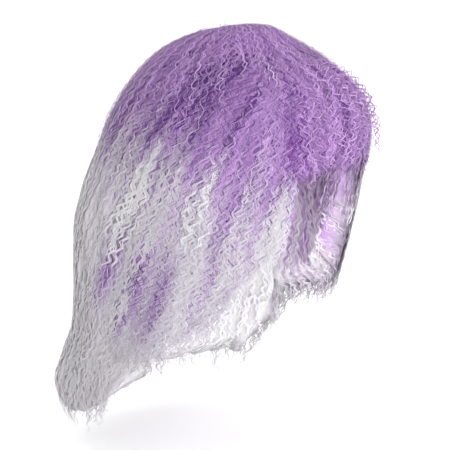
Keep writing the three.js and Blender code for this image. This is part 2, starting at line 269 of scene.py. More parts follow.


# Colour of the fibre at a place: purple down to a level and pale below it, in a shade of its own. The
# lightness of the pale by side is painted light and shade, and some patches paint shade into folds.
def tint(look, turn, combed, fall, shift, shade, taken=1.0, stained=0.0):
    fade = np.array(look["fade"], float)
    uneven = shift + 18 * np.sin(np.radians(combed) * 17) + 12 * np.sin(np.radians(combed) * 43 + 2)
    holds = np.interp(turn, fade[:, 0], fade[:, 1]) + uneven
    pale_from = np.interp(turn, fade[:, 0], fade[:, 2]) + uneven
    purple = 1 - ease(holds, pale_from, fall)
    for line, top, bottom, width, dyed, lit in look["patches"]:
        patch = np.exp(-(((combed - line) / width) ** 2)) * ease(top, top + PATCH_EDGE, fall) * taken
        patch = patch * (1 - ease(bottom - PATCH_EDGE, bottom, fall))
        purple = np.clip(purple + dyed * patch, 0, 1)
        shade = np.clip(shade + lit * patch, 0, 1)
    stain = stained * np.interp(turn, fade[:, 0], fade[:, 4])
    purple = stain + (1 - stain) * purple
    names = ("deep", "bright", "pale", "crown", "dull")
    deep, bright, pale, crown, dull = (np.array(look[name]) for name in names)
    roots = deep + (bright - deep) * shade[..., None]
    roots = roots + (crown - roots) * (CROWN_SHARE * (1 - ease(20, 100, fall)))[..., None]
    light = np.interp(turn, fade[:, 0], fade[:, 3])
    ends = (dull + (pale - dull) * shade[..., None]) * light[..., None]
    return ends + (roots - ends) * purple[..., None]


def set_points(mesh, name, kind, values):
    made = mesh.attributes.new(name, kind, "POINT")
    key = {"FLOAT": "value", "FLOAT_VECTOR": "vector", "FLOAT_COLOR": "color"}[kind]
    made.data.foreach_set(key, np.ascontiguousarray(values, np.float32).ravel())


def set_tint(mesh, rgb):
    set_points(mesh, "tint", "FLOAT_COLOR", np.concatenate([rgb, np.ones(rgb.shape[:-1] + (1,))], -1))


# Guide lines of the locks: each lock is a few fibres that share a path, a sway and a crimp.
# They start at a fall within start, lie at a depth under the surface and end at the turns and levels of ends.
# Some end early, the dye of some runs on in streaks, and each one's crimp, girth and shade vary a little.
def guide_lines(name, look, ends, turns, seed, locks, fibres, stops, start, lean=straight, surface=skin,
                depth=(0, 3), ragged=6, early=0.12, flare=3, bend=4, sway=4, shift=13, streaks=0,
                crimp=(13, 18), bundle=1.3, swing=3.4, curl=0.15, thick=0.8, frizz=0.14, bright=0.6, root=12):
    rng = np.random.default_rng(seed)
    ends = np.array(ends, float)
    one = (locks, 1)
    spread = lambda low, high: low + (high - low) * rng.random(one)
    place = (np.arange(locks)[:, None] + rng.random(one)) / locks
    end_turn = turns[0] + (turns[1] - turns[0]) * place
    bottom = fall_at(np.interp(end_turn, ends[:, 0], ends[:, 1])) + rng.normal(0, ragged, one)
    bottom -= np.where(rng.random(one) < early, spread(10, 80), 0)
    top = np.minimum(start[0] + (start[1] - start[0]) * rng.random(one) ** 0.8, bottom - 55)
    share = np.linspace(0, 1, stops)[None, :]
    fall = top + (bottom - top) * share
    turn = np.repeat(end_turn, stops, 1)
    for k in range(stops - 2, -1, -1):
        slope = lean(turn[:, k + 1], (fall[:, k] + fall[:, k + 1]) / 2)
        turn[:, k] = turn[:, k + 1] + slope * (fall[:, k + 1] - fall[:, k])
    layer = spread(*depth)
    deep = layer + root * np.exp(-(fall - top) / ROOT_RISE) - flare * share**bend
    knots = np.linspace(*turns, 2 + int((turns[1] - turns[0]) / WAVE_GROUP))
    shared = lambda low, high: np.interp(end_turn, knots, rng.uniform(low, high, len(knots)))
    wave = 2 * np.pi * (fall / shared(60, 90) + shared(0, 1.2)) + rng.normal(0, 0.5, one)
    aside = sway * np.sin(wave) * ease(40, 150, fall)
    # Deeper layers get a darker shade, as painted shade under the fibre above.
    shade = bright + rng.normal(0, SHADE_SPREAD, one) - 0.05 * (layer - np.mean(depth))
    late = rng.normal(0, shift, one) - 35 * (shade - bright)
    late = late + np.where(rng.random(one) < streaks, STREAK_FALL, 0)
    period = shared(*crimp)
    phase = shared(0, 6) + rng.normal(0, 0.22, one) + 2 * np.pi * top / period
    count = locks * fibres
    turn, fall, deep, aside, late, shade, phase, period, top = (
        np.repeat(a, fibres, 0) for a in (turn, fall, deep, aside, late, shade, phase, period, top))
    aside = aside + rng.normal(0, bundle, (count, 1)) * (1 - 0.4 * share)
    deep = deep + rng.normal(0, 0.3, (count, 1))
    shade = np.clip(shade + rng.normal(0, 0.14, (count, 1)) + 0 * fall, 0, 1)
    centre = surface(turn, fall, deep)
    girth = np.maximum(np.hypot(centre[..., 0], centre[..., 1] - WHORL_Y), 12)
    turn = turn + np.degrees(aside / girth)
    centre = surface(turn, fall, deep)
    side = unit(surface(turn + 1, fall, deep) - surface(turn - 1, fall, deep))
    lift = np.cross(np.gradient(centre, axis=1), side)
    lift = unit(lift * np.sign(np.sum(lift * (surface(turn, fall, deep - 1) - centre), -1, keepdims=True)))
    grown = ease(0, 20, fall - top)
    swell = 0.8 + 0.3 * np.sin(2 * np.pi * (fall / 75 + rng.random((count, 1))))
    swing = swing * rng.normal(1, 0.12, (count, 1)) * swell * grown * (0.7 + 0.3 * ease(60, 180, fall))
    thick = thick * rng.normal(1, 0.2, (count, 1)) * (0.5 + 0.5 * grown) * (1 - 0.75 * ease(0.92, 1.0, share))
    mesh = bpy.data.meshes.new(name)
    row = np.arange(count * stops).reshape(count, stops)
    links = np.stack([row[:, :-1].ravel(), row[:, 1:].ravel()], 1)
    mesh.from_pydata((centre.reshape(-1, 3) / 1000).tolist(), links.tolist(), [])
    fill = lambda a: np.broadcast_to(a, (count, stops))
    set_points(mesh, "side", "FLOAT_VECTOR", side)
    set_points(mesh, "lift", "FLOAT_VECTOR", lift)
    set_points(mesh, "swing", "FLOAT", fill(swing / 1000))
    set_points(mesh, "curl", "FLOAT", fill(curl * rng.choice([-1, 1], (count, 1))))
    set_points(mesh, "thick", "FLOAT", fill(thick / 2000))
    set_points(mesh, "phase", "FLOAT", fill(phase + rng.normal(0, frizz, (count, 1))))
    set_points(mesh, "period", "FLOAT", fill(period / 1000))
    set_points(mesh, "strand", "FLOAT", fill(np.arange(count)[:, None]))
    # Deeper fibre is darkened as painted shade.
    painted_shade_factor = 1 - 0.02 * np.clip(deep, 0, 12)
    taken = 0.3 + 0.7 * rng.random((count, 1))
    shown = tint(look, turn, comb_turn(lean, turn, fall), fall, late, shade, taken, STRAND_STAIN)
    set_tint(mesh, shown * painted_shade_factor[..., None])
    return mesh


# Crimp: turns guide lines into waved fibre, as flat ribbons that lie on the mass or as three-sided locks
def crimp_tree():
    tree = bpy.data.node_groups.new("crimped_fibre", "GeometryNodeTree")
    face = tree.interface
    face.new_socket("Geometry", in_out="INPUT", socket_type="NodeSocketGeometry")
    face.new_socket("Step", in_out="INPUT", socket_type="NodeSocketFloat")
    face.new_socket("Ribbon", in_out="INPUT", socket_type="NodeSocketBool")
    face.new_socket("Flatness", in_out="INPUT", socket_type="NodeSocketFloat")
    face.new_socket("Fibre", in_out="INPUT", socket_type="NodeSocketMaterial")
    face.new_socket("Geometry", in_out="OUTPUT", socket_type="NodeSocketGeometry")
    given = node(tree, "NodeGroupInput").outputs

    def read(name, kind="FLOAT"):
        return node(tree, "GeometryNodeInputNamedAttribute", [("Name", name)], data_type=kind).outputs[0]

    def math(how, a, b=0.0):
        return node(tree, "ShaderNodeMath", [(0, a), (1, b)], operation=how).outputs[0]

    def scaled(vector, by):
        return node(tree, "ShaderNodeVectorMath", [(0, vector), ("Scale", by)], operation="SCALE").outputs[0]

    lines = node(tree, "GeometryNodeMeshToCurve", [("Mesh", given["Geometry"])]).outputs[0]
    fine = node(tree, "GeometryNodeResampleCurve", [("Curve", lines), ("Length", given["Step"])],
                mode="LENGTH")
    along = node(tree, "GeometryNodeSplineParameter").outputs
    waves = math("DIVIDE", along["Length"], read("period"))
    angle = math("ADD", math("MULTIPLY", waves, 2 * np.pi), read("phase"))
    swing = read("swing")
    aside = scaled(read("side", "FLOAT_VECTOR"), math("MULTIPLY", math("SINE", angle), swing))
    rise = math("MULTIPLY", math("MULTIPLY", math("COSINE", angle), swing), read("curl"))
    outward = scaled(read("lift", "FLOAT_VECTOR"), rise)
    offset = node(tree, "ShaderNodeVectorMath", [(0, aside), (1, outward)], operation="ADD").outputs[0]
    waved = node(tree, "GeometryNodeSetPosition", [("Geometry", fine.outputs[0]), ("Offset", offset)])
    marked = node(tree, "GeometryNodeStoreNamedAttribute",
                  [("Geometry", waved.outputs[0]), ("Name", "along"), ("Value", along["Factor"])],
                  data_type="FLOAT", domain="POINT")
    laid = node(tree, "GeometryNodeSetCurveNormal",
                [("Curve", marked.outputs[0]), ("Normal", read("lift", "FLOAT_VECTOR"))], mode="FREE")
    ring = node(tree, "GeometryNodeCurvePrimitiveCircle", [("Resolution", 3), ("Radius", 1.0)])
    squash = node(tree, "ShaderNodeCombineXYZ", [("X", given["Flatness"]), ("Y", 1.0), ("Z", 1.0)])
    flat = node(tree, "GeometryNodeTransform", [("Geometry", ring.outputs[0]), ("Scale", squash.outputs[0])])
    strip = node(tree, "GeometryNodeCurvePrimitiveLine", [("Start", (0, -1, 0)), ("End", (0, 1, 0))])
    section = node(tree, "GeometryNodeSwitch", [("Switch", given["Ribbon"]), ("False", flat.outputs[0]),
                                                ("True", strip.outputs[0])], input_type="GEOMETRY")
    corner = node(tree, "GeometryNodeInputIndex").outputs[0]
    edges = node(tree, "GeometryNodeStoreNamedAttribute",
                 [("Geometry", section.outputs[0]), ("Name", "across"), ("Value", corner)],
                 data_type="FLOAT", domain="POINT")
    tube = node(tree, "GeometryNodeCurveToMesh",
                [("Curve", laid.outputs[0]), ("Profile Curve", edges.outputs[0]), ("Fill Caps", True),
                 ("Scale", read("thick"))])
    smooth = node(tree, "GeometryNodeSetShadeSmooth", [("Geometry", tube.outputs[0])])
    real = node(tree, "GeometryNodeRealizeInstances", [("Geometry", smooth.outputs[0])])
    done = node(tree, "GeometryNodeSetMaterial",
                [("Geometry", real.outputs[0]), ("Material", given["Fibre"])])
    node(tree, "NodeGroupOutput", [("Geometry", done.outputs[0])])
    return tree


CRIMP = crimp_tree()
MAP_COLUMNS = 6


# Each fibre gets a cell of its own in the piece's map, its length across and its three sides up
def lay_map(mesh):
    def values(name):
        found = np.empty(len(mesh.vertices), np.float32)
        mesh.attributes[name].data.foreach_get("value", found)
        return found

    strand = np.rint(values("strand")).astype(int)
    corner = np.empty(len(mesh.loops), np.int64)
    mesh.loops.foreach_get("vertex_index", corner)
    size = np.empty(len(mesh.polygons), np.int64)
    mesh.polygons.foreach_get("loop_total", size)
    face = np.repeat(np.arange(len(size)), size)
    sides = np.rint(values("across"))[corner]
    lid = (size == 3)[face]
    wraps = ((np.bincount(face, sides == 0) > 0) & (np.bincount(face, sides == 2) > 0))[face] & ~lid
    up = np.where(wraps & (sides == 0), 3, sides) / 3
    length = np.clip(values("along")[corner] + np.where(lid, 0.01 * sides, 0), 0, 1)
    cell = strand[corner]
    u = (cell % MAP_COLUMNS + 0.03 + 0.94 * length) / MAP_COLUMNS
    v = (cell // MAP_COLUMNS + 0.06 + 0.88 * up) / (strand.max() // MAP_COLUMNS + 1)
    layer = mesh.uv_layers.new(name="OFBake")
    layer.data.foreach_set("uv", np.stack([u, v], 1).astype(np.float32).ravel())


# A flatness of 0 makes ribbons, and one of 1 makes three-sided locks
def crimped(name, guide, step, material, flatness):
    source = bpy.data.objects.new(name + "_guide", guide)
    bpy.context.scene.collection.objects.link(source)
    change = source.modifiers.new("crimp", "NODES")
    change.node_group = CRIMP
    wanted = {"Step": step / 1000, "Ribbon": flatness == 0, "Flatness": flatness, "Fibre": material}
    for item in CRIMP.interface.items_tree:
        if item.in_out == "INPUT" and item.name in wanted:
            change[item.identifier] = wanted[item.name]
    graph = bpy.context.evaluated_depsgraph_get()
    mesh = bpy.data.meshes.new_from_object(source.evaluated_get(graph))
    mesh.name = name
    source.modifiers.remove(change)
    bpy.data.objects.remove(source)
    for spent in ("side", "lift", "swing", "curl", "thick", "phase", "period"):
        if spent in mesh.attributes:
            mesh.attributes.remove(mesh.attributes[spent])
    lay_map(mesh)
    piece = bpy.data.objects.new(name, mesh)
    bpy.context.scene.collection.objects.link(piece)
    return piece


# Fall at which the packed fibre ends: short of the ends of the locks, and frayed
def packed_end(ends, turn, short):
    frayed = 4 * (1 + np.sin(turn * 1.9) * np.sin(turn * 0.83 + 1))
    return fall_at(np.interp(turn, ends[:, 0], ends[:, 1])) - short - frayed


# Body of packed fibre under the locks: a thick sheet with ridges along its fall, hollow inside.
# Its lower wall rises toward the hollow, and its dye ends later than that of the locks, or sooner inside.
def packed_body(name, look, ends, turns, start, columns, rows, lean=straight, short=PACKED_SHORT, rise=30,
                cover=1.0, late=55, inside_late=-55, painted_shade_factor=0.95):
    ends = np.array(ends, float)
    turn = np.linspace(*turns, columns)[None, :] + np.zeros((rows, 1))
    share = np.linspace(0, 1, rows)[:, None]
    bottom = packed_end(ends, turn, short)
    fall = start + (bottom - start) * share
    hidden_fall = start + (bottom - rise - start) * share
    combed = comb_turn(lean, turn, fall)
    hidden_combed = comb_turn(lean, turn, hidden_fall)
    ridge = 0.5 * np.sin(np.radians(combed) * 62 + 1.8 * np.sin(fall / 23)) * ease(30, 110, fall)
    least = reach(turn, fall, within_hollow) + 1.5
    outer = ray(turn, fall, np.maximum(least, reach(turn, fall, within_hair) - cover + ridge))
    inner = ray(turn, hidden_fall, reach(turn, hidden_fall, within_hollow) + 0.6)
    points = np.concatenate([outer.reshape(-1, 3), inner.reshape(-1, 3)])
    at = lambda layer, i, j: layer * rows * columns + i * columns + j
    faces = []
    end = columns - 1
    for i in range(rows - 1):
        for j in range(end):
            faces.append((at(0, i, j), at(0, i + 1, j), at(0, i + 1, j + 1), at(0, i, j + 1)))
            faces.append((at(1, i, j), at(1, i, j + 1), at(1, i + 1, j + 1), at(1, i + 1, j)))
        faces.append((at(0, i, 0), at(1, i, 0), at(1, i + 1, 0), at(0, i + 1, 0)))
        faces.append((at(0, i, end), at(0, i + 1, end), at(1, i + 1, end), at(1, i, end)))
    for j in range(end):
        faces.append((at(0, 0, j), at(0, 0, j + 1), at(1, 0, j + 1), at(1, 0, j)))
        low = rows - 1
        faces.append((at(0, low, j), at(1, low, j), at(1, low, j + 1), at(0, low, j + 1)))
    piece = solid_mesh(name, points, faces)
    bands = np.sin(np.radians(combed) * 41 + 2 * np.sin(fall / 31))
    # The body is darker than the locks over it, partly as painted shade between them, and lighter toward its
    # ends as painted light; the bands are its own tone.
    shade = 0.36 + 0.3 * ease(180, 300, fall) + 0.14 * bands
    # The painted shade factor darkens the whole outside a little.
    shown = tint(look, turn, combed, fall, late, shade, stained=1.0) * painted_shade_factor
    # Painted bounce light: the hidden side gets a high even shade and a gain, up to a limit.
    even = np.full(fall.shape, INSIDE_PAINTED_LIGHT_SHADE)
    hidden = tint(look, turn, hidden_combed, hidden_fall, inside_late, even, stained=INSIDE_STAIN)
    hidden = np.minimum(hidden * INSIDE_PAINTED_LIGHT_GAIN, INSIDE_BRIGHTEST)
    set_tint(piece.data, np.concatenate([shown.reshape(-1, 3), hidden.reshape(-1, 3)]))
    comb = np.concatenate([np.stack([combed, fall, 0 * fall], -1).reshape(-1, 3),
                           np.stack([combed, hidden_fall, 0 * fall], -1).reshape(-1, 3)])
    set_points(piece.data, "comb", "FLOAT_VECTOR", comb)
    return piece


# Soft matt fibre that lets some light through
def set_matt(shader):
    shader.inputs["Roughness"].default_value = 0.65
    shader.inputs["Specular IOR Level"].default_value = 0.1
    shader.inputs["Subsurface Weight"].default_value = 0.4
    shader.inputs["Subsurface Radius"].default_value = (1.0, 1.0, 1.0)
    shader.inputs["Subsurface Scale"].default_value = 0.002


# Fibre of the locks: the colour is in the mesh, and fine lines run along each lock
def fibre_material(name, lines, contrast=0.1):
    made, tree, shader = new_material(name)
    read = lambda what: node(tree, "ShaderNodeAttribute", attribute_name=what).outputs
    math = lambda how, a, b: node(tree, "ShaderNodeMath", [(0, a), (1, b)], operation=how).outputs[0]
    across = math("MULTIPLY", read("across")["Fac"], lines)
    along = math("MULTIPLY", read("along")["Fac"], 9.0)
    apart = math("MULTIPLY", read("strand")["Fac"], 3.7)
    where = node(tree, "ShaderNodeCombineXYZ", [("X", across), ("Y", along), ("Z", apart)]).outputs[0]
    grain = node(tree, "ShaderNodeTexNoise", [("Vector", where), ("Scale", 1.0), ("Detail", 3.0)])
    lighter = node(tree, "ShaderNodeMapRange", [("Value", grain.outputs["Fac"]), ("From Min", 0.3),
                                                ("From Max", 0.7), ("To Min", 1 - contrast),
                                                ("To Max", 1 + contrast / 2)])
    mixed = node(tree, "ShaderNodeVectorMath", [(0, read("tint")["Color"]), ("Scale", lighter.outputs[0])],
                 operation="SCALE")
    tree.links.new(mixed.outputs[0], shader.inputs["Base Color"])
    set_matt(shader)
    return made


# Packed fibre: fine waved lines that run with the combing, drawn from the comb attribute of the body
def packed_material(name, wave_mm=13.0, swing=1.0, lines=1.6):
    made, tree, shader = new_material(name)

    def math(how, a, b=0.0):
        return node(tree, "ShaderNodeMath", [(0, a), (1, b)], operation=how).outputs[0]

    def grain(across, down, layer, detail):
        where = node(tree, "ShaderNodeCombineXYZ", [("X", across), ("Y", down), ("Z", layer)]).outputs[0]
        found = node(tree, "ShaderNodeTexNoise", [("Vector", where), ("Scale", 1.0), ("Detail", detail)])
        return found.outputs["Fac"]

    colour = node(tree, "ShaderNodeAttribute", attribute_name="tint").outputs["Color"]
    comb = node(tree, "ShaderNodeAttribute", attribute_name="comb").outputs["Vector"]
    across, down, layer = node(tree, "ShaderNodeSeparateXYZ", [("Vector", comb)]).outputs
    lag = grain(math("MULTIPLY", across, 0.5), math("MULTIPLY", down, 0.012), layer, 1.0)
    angle = math("ADD", math("MULTIPLY", down, 2 * np.pi / wave_mm), math("MULTIPLY", lag, 26.0))
    waved = math("ADD", across, math("MULTIPLY", math("SINE", angle), swing))
    fine = grain(math("MULTIPLY", waved, lines), math("MULTIPLY", down, 0.03), layer, 4.0)
    broad = grain(math("MULTIPLY", waved, lines * 0.3), math("MULTIPLY", down, 0.01), layer, 2.0)
    place = node(tree, "ShaderNodeTexCoord").outputs["Object"]
    fuzz = node(tree, "ShaderNodeTexNoise", [("Vector", place), ("Scale", 550.0), ("Detail", 2.0)])
    both = math("ADD", math("MULTIPLY", fine, 0.5), math("MULTIPLY", broad, 0.25))
    both = math("ADD", both, math("MULTIPLY", fuzz.outputs["Fac"], 0.25))
    lighter = node(tree, "ShaderNodeMapRange", [("Value", both), ("From Min", 0.34), ("From Max", 0.66),
                                                ("To Min", 0.8), ("To Max", 1.1)])
    mixed = node(tree, "ShaderNodeVectorMath", [(0, colour), ("Scale", lighter.outputs[0])],
                 operation="SCALE")
    bump = node(tree, "ShaderNodeBump", [("Height", both), ("Strength", 0.4), ("Distance", 0.0015)])
    tree.links.new(mixed.outputs[0], shader.inputs["Base Color"])
    tree.links.new(bump.outputs["Normal"], shader.inputs["Normal"])
    set_matt(shader)
    return made


# A body stands in for the plain solid of its mass, and the locks are added to it
def add_body(piece, material, slot, *cad_nodes):
    piece.data.materials.append(material)
    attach(piece, "root")
    if cad_nodes:
        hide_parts(*cad_nodes)


def add_locks(name, slot, fibre, step, look, ends, turns, flatness=0.0, **style):
    guide = guide_lines(name + "_lines", look, ends, turns, **style)
    piece = crimped(name, guide, step, fibre, flatness)
    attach(piece, "root")


# ends: turn and level. fade: turn, fall where purple ends, fall where pale begins, lightness (painted light
# and shade by side), stain of the packed body. patches: line, upper and lower fall, half width, change of the
# dye, change of the shade.
fringe_ends = [(-42, -122), (-20, -112), (0, -108), (50, -112)]
curl_ends = [(-42, -104), (50, -96)]
fringe_look = {
    # The patch darkens the fold beside the right side hair: painted shade.
    "fade": [(-60, 400, 520, 1, 0), (60, 400, 520, 1, 0)], "patches": [(-37, 70, 260, 5.0, 0.0, -0.9)],
    "deep": (0.16, 0.055, 0.26), "bright": (0.59, 0.36, 0.71), "pale": (0.6, 0.58, 0.63),
    "crown": (0.45, 0.26, 0.56), "dull": (0.5, 0.42, 0.55)}
fringe_packed = packed_material("fringe_packed")
fringe_body = packed_body("fringe_body", fringe_look, fringe_ends, (-42.2, 50.2), start=21, columns=48,
                          rows=40, short=8, rise=3)
add_body(fringe_body, fringe_packed, "hair_fringe", "fringe")
fringe_lock_fibre = fibre_material("fringe_lock_fibre", 3.5)
fringe_fibre = fibre_material("fringe_fibre", 1.5)
add_locks("fringe_locks", "hair_fringe", fringe_lock_fibre, 2.0, fringe_look, fringe_ends, (-43, 51), seed=11,
          locks=60, fibres=1, stops=24, start=(20, 120), depth=(0, 0.9), sway=5, crimp=(12, 16), swing=3.8,
          thick=1.8, bright=0.22)
add_locks("fringe_fine_locks", "hair_fringe", fringe_fibre, 2.0, fringe_look, fringe_ends, (-43, 51), seed=12,
          locks=150, fibres=3, stops=24, start=(14, 130), depth=(-1, 0.8), ragged=9, sway=3, crimp=(12, 15),
          swing=4.0)
add_locks("fringe_curls", "hair_fringe", fringe_fibre, 2.0, fringe_look, curl_ends, (-30, 48), flatness=1.0,
          seed=13, locks=46, fibres=1, stops=16, start=(60, 150), depth=(-7, 0), ragged=16, flare=5, sway=9,
          crimp=(11, 15), swing=4.2, curl=0.9, thick=1.0)
add_locks("fringe_loose_fibres", "hair_fringe", fringe_fibre, 2.8, fringe_look, fringe_ends, (-42, 50),
          seed=14, locks=44, fibres=1, stops=24, start=(14, 140), depth=(-6, -2), ragged=20, early=0.5,
          sway=9, crimp=(13, 20), thick=0.45, bright=0.75)

# Right side hair: the curtain on the right, purple at the roots and white toward the ends.
# It is combed back as it falls, and it is cut shorter in front than behind.
# Locks of crimped fibre lie over a packed body that is sewn to the side of the cap.
right_ends = [(235, -328), (255, -308), (270, -290), (285, -252), (300, -216), (318, -198)]
right_top_ends = [(225, -110), (318, -90)]
right_show_ends = [(220, -185), (290, -210)]
# The lightness of the pale is painted light and shade by side: darker where it meets the back, lighter behind
# and in front.
right_look = {
    "fade": [(200, 115, 225, 1.16, 0.06), (220, 110, 220, 0.83, 0.1), (235, 130, 260, 0.88, 0.22),
             (260, 175, 330, 1, 0.36), (280, 205, 350, 1, 0.28), (300, 205, 330, 1.04, 0.12),
             (318, 210, 300, 1.08, 0.04), (360, 220, 300, 1.08, 0.04)],
    "patches": [(240.5, 280, 410, 4.0, 1.2, -0.4), (255.5, 285, 440, 5.5, 1.9, -0.4),
                (267.5, 300, 440, 4.0, 1.0, -0.3), (285, 200, 390, 3.0, 0.4, 0.0),
                (237.5, 170, 310, 4.0, -0.4, 0.35), (273, 240, 350, 5.0, -0.4, 0.3),
                # The patch at line 309 paints shade into the fold beside the fringe.
                (246, 60, 220, 14.0, 0.25, -0.6), (309, 80, 260, 5.0, 0.0, -0.6)],
    "deep": (0.1, 0.035, 0.18), "bright": (0.45, 0.265, 0.57), "pale": (0.61, 0.6, 0.62),
    "crown": (0.47, 0.21, 0.76), "dull": (0.49, 0.45, 0.515)}
SHOW_COLOURS = dict(pale=(0.67, 0.66, 0.685), patches=[])
# Lighter colours for the inside and the edges, as painted bounce light over their dye.
INNER_PAINTED_LIGHT_COLOURS = dict(deep=(0.45, 0.3, 0.55), bright=(0.8, 0.62, 0.88), pale=(0.96, 0.94, 0.98),
                     dull=(0.86, 0.79, 0.9))
right_show_look = dict(right_look, fade=[(200, 120, 200, 1, 0), (250, 140, 215, 1, 0), (290, 210, 290, 1, 0)],
                       **SHOW_COLOURS)
right_inner_look = dict(right_look, fade=[(230, 200, 330, 1, 0), (320, 200, 300, 1, 0)], **INNER_PAINTED_LIGHT_COLOURS)
END_RISE = 14
LOOSE_RISE = 20
SIDE_RISE = 30


# Degrees that the fibre turns back for each millimetre of its fall, most at the sides and none in front
def combed_back(turn, fall):
    away = np.where(turn > 180, turn, 360 - turn)
    pace = np.interp(fall, [20, 60, 110, 150, 300, 380, 450], [0.0, 0.06, 0.18, 0.19, 0.18, 0.17, 0.13])
    return np.sign(turn - 180) * pace * ease(190, 252, away) * (1 - ease(306, 332, away))


def raised(ends, by):
    return [(turn, level + by) for turn, level in ends]


# Inside of a mass: down its lining, then out along its sloping lower wall to the ends of the hair
def inside_of(ends, rise):
    ends = np.array(ends, float)

    def surface(turn, fall, depth):
        edge = packed_end(ends, turn, PACKED_SHORT)
        near = reach(turn, fall, within_hollow) + 1
        far = reach(turn, fall, within_hair)
        return ray(turn, fall, near + (far - near) * np.clip((fall - edge) / rise + 1, 0, 1) + depth)

    return surface


# Ways of laying fibre that both curtains share: main, fine and top locks, white ones, edges, strays, inside
MAIN_LOCKS = dict(fibres=1, stops=34, start=(14, 190), lean=combed_back, depth=(0, 0.9), streaks=0.1,
                  thick=1.6, bright=0.3)
FINE_LOCKS = dict(fibres=3, stops=34, start=(14, 190), lean=combed_back, depth=(-0.6, 0.8), streaks=0.08)
TOP_LOCKS = dict(fibres=3, stops=26, start=(14, 110), lean=combed_back, depth=(-0.6, 0.6), ragged=22)
SHOW_LOCKS = dict(locks=8, fibres=6, stops=26, start=(110, 180), lean=combed_back, depth=(-1.4, -0.6),
                  ragged=24, crimp=(16, 19), swing=3.6, bundle=1.6, shift=12, bright=0.95)
# Edge locks get a lighter shade, as painted light.
EDGE_LOCKS = dict(fibres=2, stops=20, flare=0, sway=2, thick=1.1, bright=0.8)
LOOSE_FIBRES = dict(fibres=1, lean=combed_back, depth=(-6, -2), early=0.5, sway=9, crimp=(14, 21), thick=0.45,
                    bright=0.85)
# Inside locks get a lighter shade, as painted light.
INNER_LOCKS = dict(fibres=3, flare=0, swing=2.6, bright=0.8)

right_body = packed_body("right_body", right_look, right_ends, (234.8, 318.2), start=21, columns=50, rows=54,
                         lean=combed_back, rise=SIDE_RISE)
add_body(right_body, packed_material("right_packed"), "hair_right", "right_side_hair")
right_lock_fibre = fibre_material("right_lock_fibre", 3.5)
right_fibre = fibre_material("right_fibre", 1.5)
add_locks("right_locks", "hair_right", right_lock_fibre, 2.4, right_look, right_ends, (234, 318), seed=21,
          locks=120, **MAIN_LOCKS)
add_locks("right_fine_locks", "hair_right", right_fibre, 2.4, right_look, right_ends, (234, 318), seed=22,
          locks=195, **FINE_LOCKS)
add_locks("right_top_locks", "hair_right", right_fibre, 2.2, right_look, right_top_ends, (222, 300), seed=24,
          locks=105, **TOP_LOCKS)
for seed, turns in ((26, (233, 241)), (27, (266, 276))):
    add_locks("right_show_locks_%d" % turns[0], "hair_right", right_fibre, 1.8, right_show_look,
              right_show_ends, turns, seed=seed, **SHOW_LOCKS)
add_locks("right_edge_locks", "hair_right", right_fibre, 3.4, right_inner_look, right_ends, (318.6, 320),
          flatness=1.0, seed=25, locks=36, start=(130, 200), depth=(0, 42), early=0.5, **EDGE_LOCKS)
add_locks("right_loose_fibres", "hair_right", right_fibre, 3.4, right_look, raised(right_ends, LOOSE_RISE),
          (226, 318), seed=28, locks=40, stops=30, start=(20, 240), **LOOSE_FIBRES)
add_locks("right_inner_locks", "hair_right", right_fibre, 2.4, right_inner_look, raised(right_ends, END_RISE),
          (235, 318), seed=23, locks=54, stops=24, start=(215, 260), surface=inside_of(right_ends, SIDE_RISE),
          depth=(-5, -1.5), thick=1.2, **INNER_LOCKS)

# Left side hair: the curtain on the left, made, dyed and sewn on as the right one.
# Its front edge is combed further back than that of the right one.
# The dye runs further down inside it, and its front edge is painted palest, as painted light.
left_ends = [(50, -180), (62, -216), (76, -260), (92, -286), (125, -318)]
left_top_ends = [(42, -90), (135, -110)]
left_show_ends = [(70, -210), (140, -185)]
# The lightness of the pale is painted light and shade by side: lightest at the front edge and behind, a
# little darker near the back.
left_look = {
    "fade": [(0, 190, 275, 1.3, 0.04), (52, 190, 275, 1.3, 0.04), (75, 215, 320, 1.12, 0.25),
             (100, 175, 325, 1, 0.36), (125, 130, 260, 0.95, 0.22), (140, 110, 220, 0.96, 0.1),
             (160, 115, 225, 1.16, 0.06)],
    "patches": [(105, 290, 410, 4.0, 0.75, -0.2), (88, 280, 390, 4.0, 0.6, -0.2),
                (120, 180, 310, 4.5, -0.4, 0.3), (114, 60, 220, 14.0, 0.2, -0.45)],
    "deep": (0.13, 0.05, 0.22), "bright": (0.45, 0.275, 0.54), "pale": (0.61, 0.6, 0.62),
    "crown": (0.47, 0.21, 0.74), "dull": (0.49, 0.45, 0.515)}
left_show_look = dict(left_look, fade=[(70, 210, 290, 1, 0), (110, 140, 215, 1, 0), (160, 120, 200, 1, 0)],
                      **SHOW_COLOURS)
left_inner_look = dict(left_look, fade=[(50, 240, 400, 1, 0), (130, 250, 420, 1, 0)],
                       patches=[(107, 300, 430, 10.0, 0.9, -0.3)], **INNER_PAINTED_LIGHT_COLOURS)
LEFT_INNER_RISE = 4
left_body = packed_body("left_body", left_look, left_ends, (49.8, 125.2), start=21, columns=46, rows=54,
                        lean=combed_back, rise=SIDE_RISE, inside_late=80)
add_body(left_body, packed_material("left_packed"), "hair_left", "left_side_hair")
left_lock_fibre = fibre_material("left_lock_fibre", 3.5)
left_fibre = fibre_material("left_fibre", 1.5)
add_locks("left_locks", "hair_left", left_lock_fibre, 2.4, left_look, left_ends, (50, 126), seed=31, locks=90,
          **MAIN_LOCKS)
add_locks("left_fine_locks", "hair_left", left_fibre, 2.6, left_look, left_ends, (50, 126), seed=32,
          locks=138, thick=0.9, **FINE_LOCKS)
add_locks("left_top_locks", "hair_left", left_fibre, 2.3, left_look, left_top_ends, (60, 138), seed=34,
          locks=86, thick=0.9, **TOP_LOCKS)
for seed, turns in ((36, (119, 127)), (37, (84, 94))):
    add_locks("left_show_locks_%d" % turns[0], "hair_left", left_fibre, 1.8, left_show_look, left_show_ends,
              turns, seed=seed, **SHOW_LOCKS)
